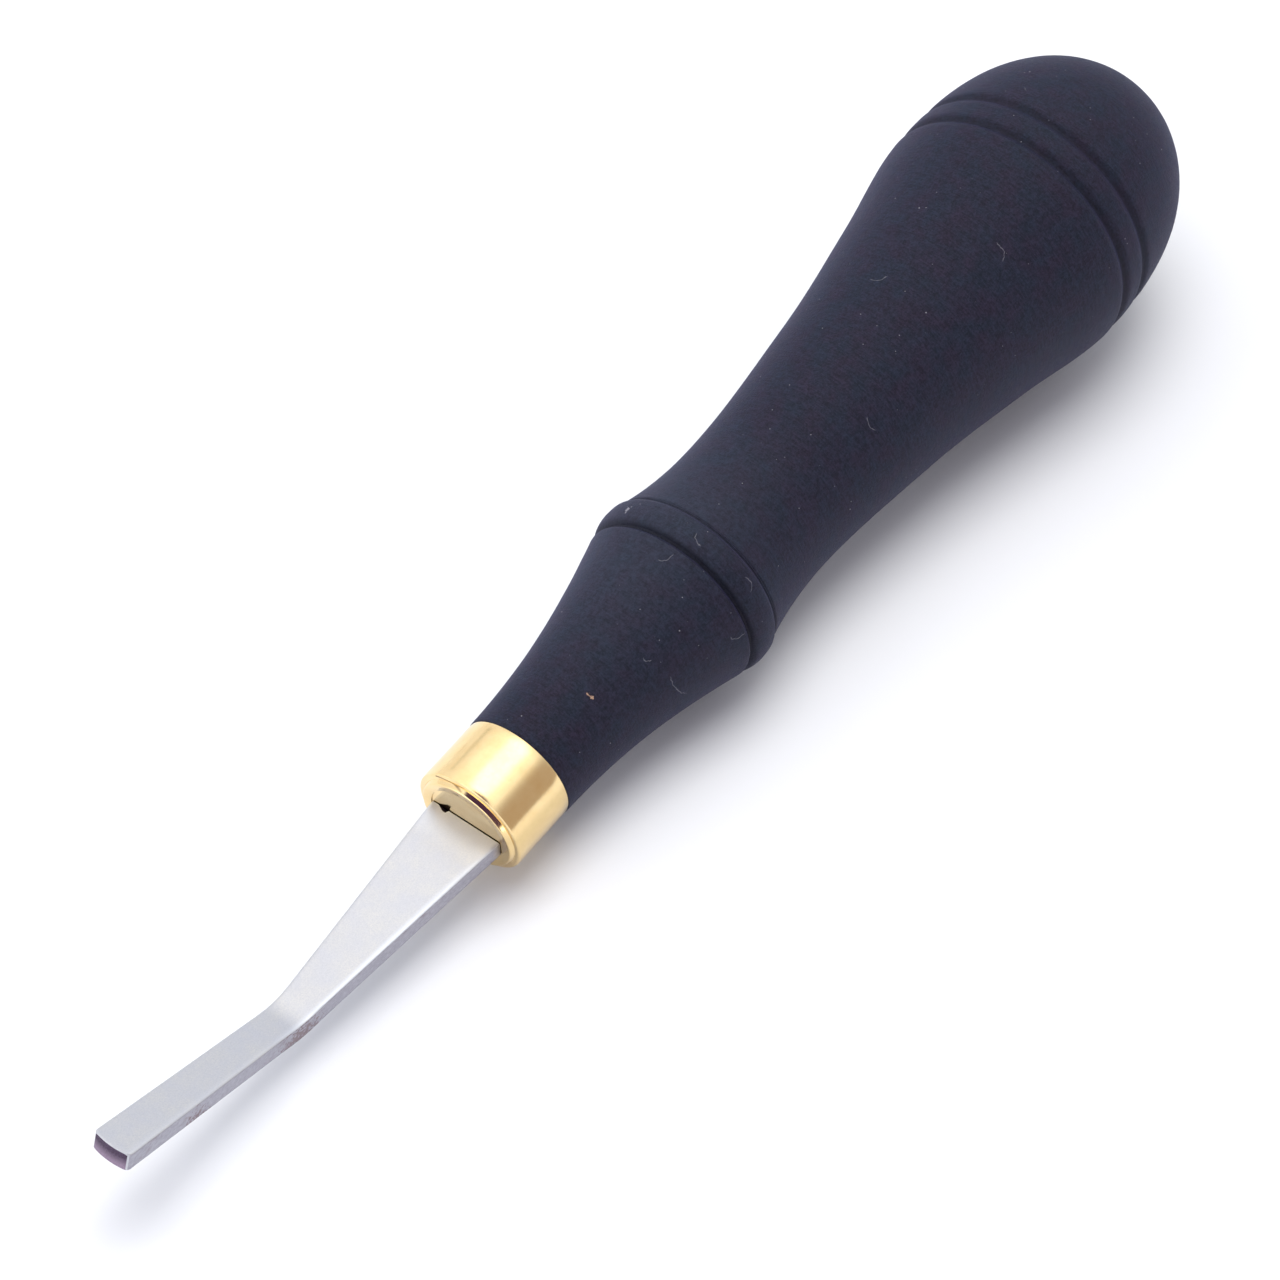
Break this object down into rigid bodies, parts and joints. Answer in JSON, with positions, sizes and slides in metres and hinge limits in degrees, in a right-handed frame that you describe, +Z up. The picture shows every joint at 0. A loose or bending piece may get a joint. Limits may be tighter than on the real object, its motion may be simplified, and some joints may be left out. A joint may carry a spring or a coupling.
{
  "type": "bent-blade hand tool",
  "caption": "Bench hand tool: a tapered flat steel blade bent up at its middle, set in a rounded brass ferrule on a turned black bulb handle.",
  "frame": {"origin": "on the bench under the middle of the tool's footprint, the tool lying on its bead and its bulb with the blade's flat faces level from side to side", "axes": "+X along the bench from the blade's tip towards the butt, +Y across the tool, +Z up from the bench; the handle's own axis rises 4.56 degrees towards +X"},
  "size_m": [0.1592, 0.0292, 0.0295],
  "materials": {
    "handle_wood": "black stain, dead matt",
    "ferrule_brass": "polished",
    "blade_steel": "satin, fine blasted"
  },
  "bodies": {
    "root": {"handle": "handle_wood", "ferrule": "ferrule_brass", "blade": "blade_steel"}
  },
  "joints": []
}
